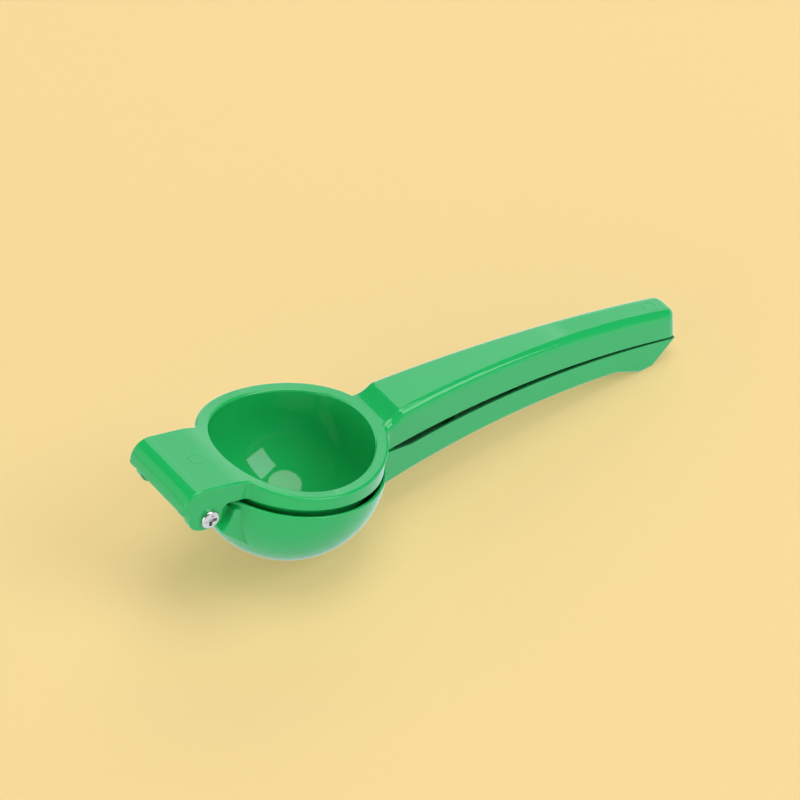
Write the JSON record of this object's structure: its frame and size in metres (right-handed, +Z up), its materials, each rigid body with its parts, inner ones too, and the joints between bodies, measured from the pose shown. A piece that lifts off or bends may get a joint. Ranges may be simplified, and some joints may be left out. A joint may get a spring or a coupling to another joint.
{
  "type": "lemon squeezer",
  "caption": "Hand lemon squeezer: a round press cup on an upper arm folds into a drained bowl on a lower arm, joined by a pivot at the front and squeezed by two long grips.",
  "frame": {"origin": "middle of the overall length and width, on the surface that the bowl and the foot rest on", "axes": "+X from the hinge to the grips, +Y across the arms, +Z up"},
  "size_m": [0.2032, 0.066, 0.0551],
  "materials": {
    "green_plastic": "glossy moulded green plastic",
    "pivot_steel": "bright plated steel"
  },
  "bodies": {
    "strainer": {"strainer_arm": "green_plastic"},
    "press": {"press_arm": "green_plastic", "hinge_sleeve": "pivot_steel", "hinge_screw": "pivot_steel"}
  },
  "joints": [
    {"name": "arm_hinge", "type": "hinge", "parent": "strainer", "child": "press", "pos_m": [-0.0922, 0, 0.04233], "axis": [0, -1, 0], "range_deg": [0, 110]}
  ]
}
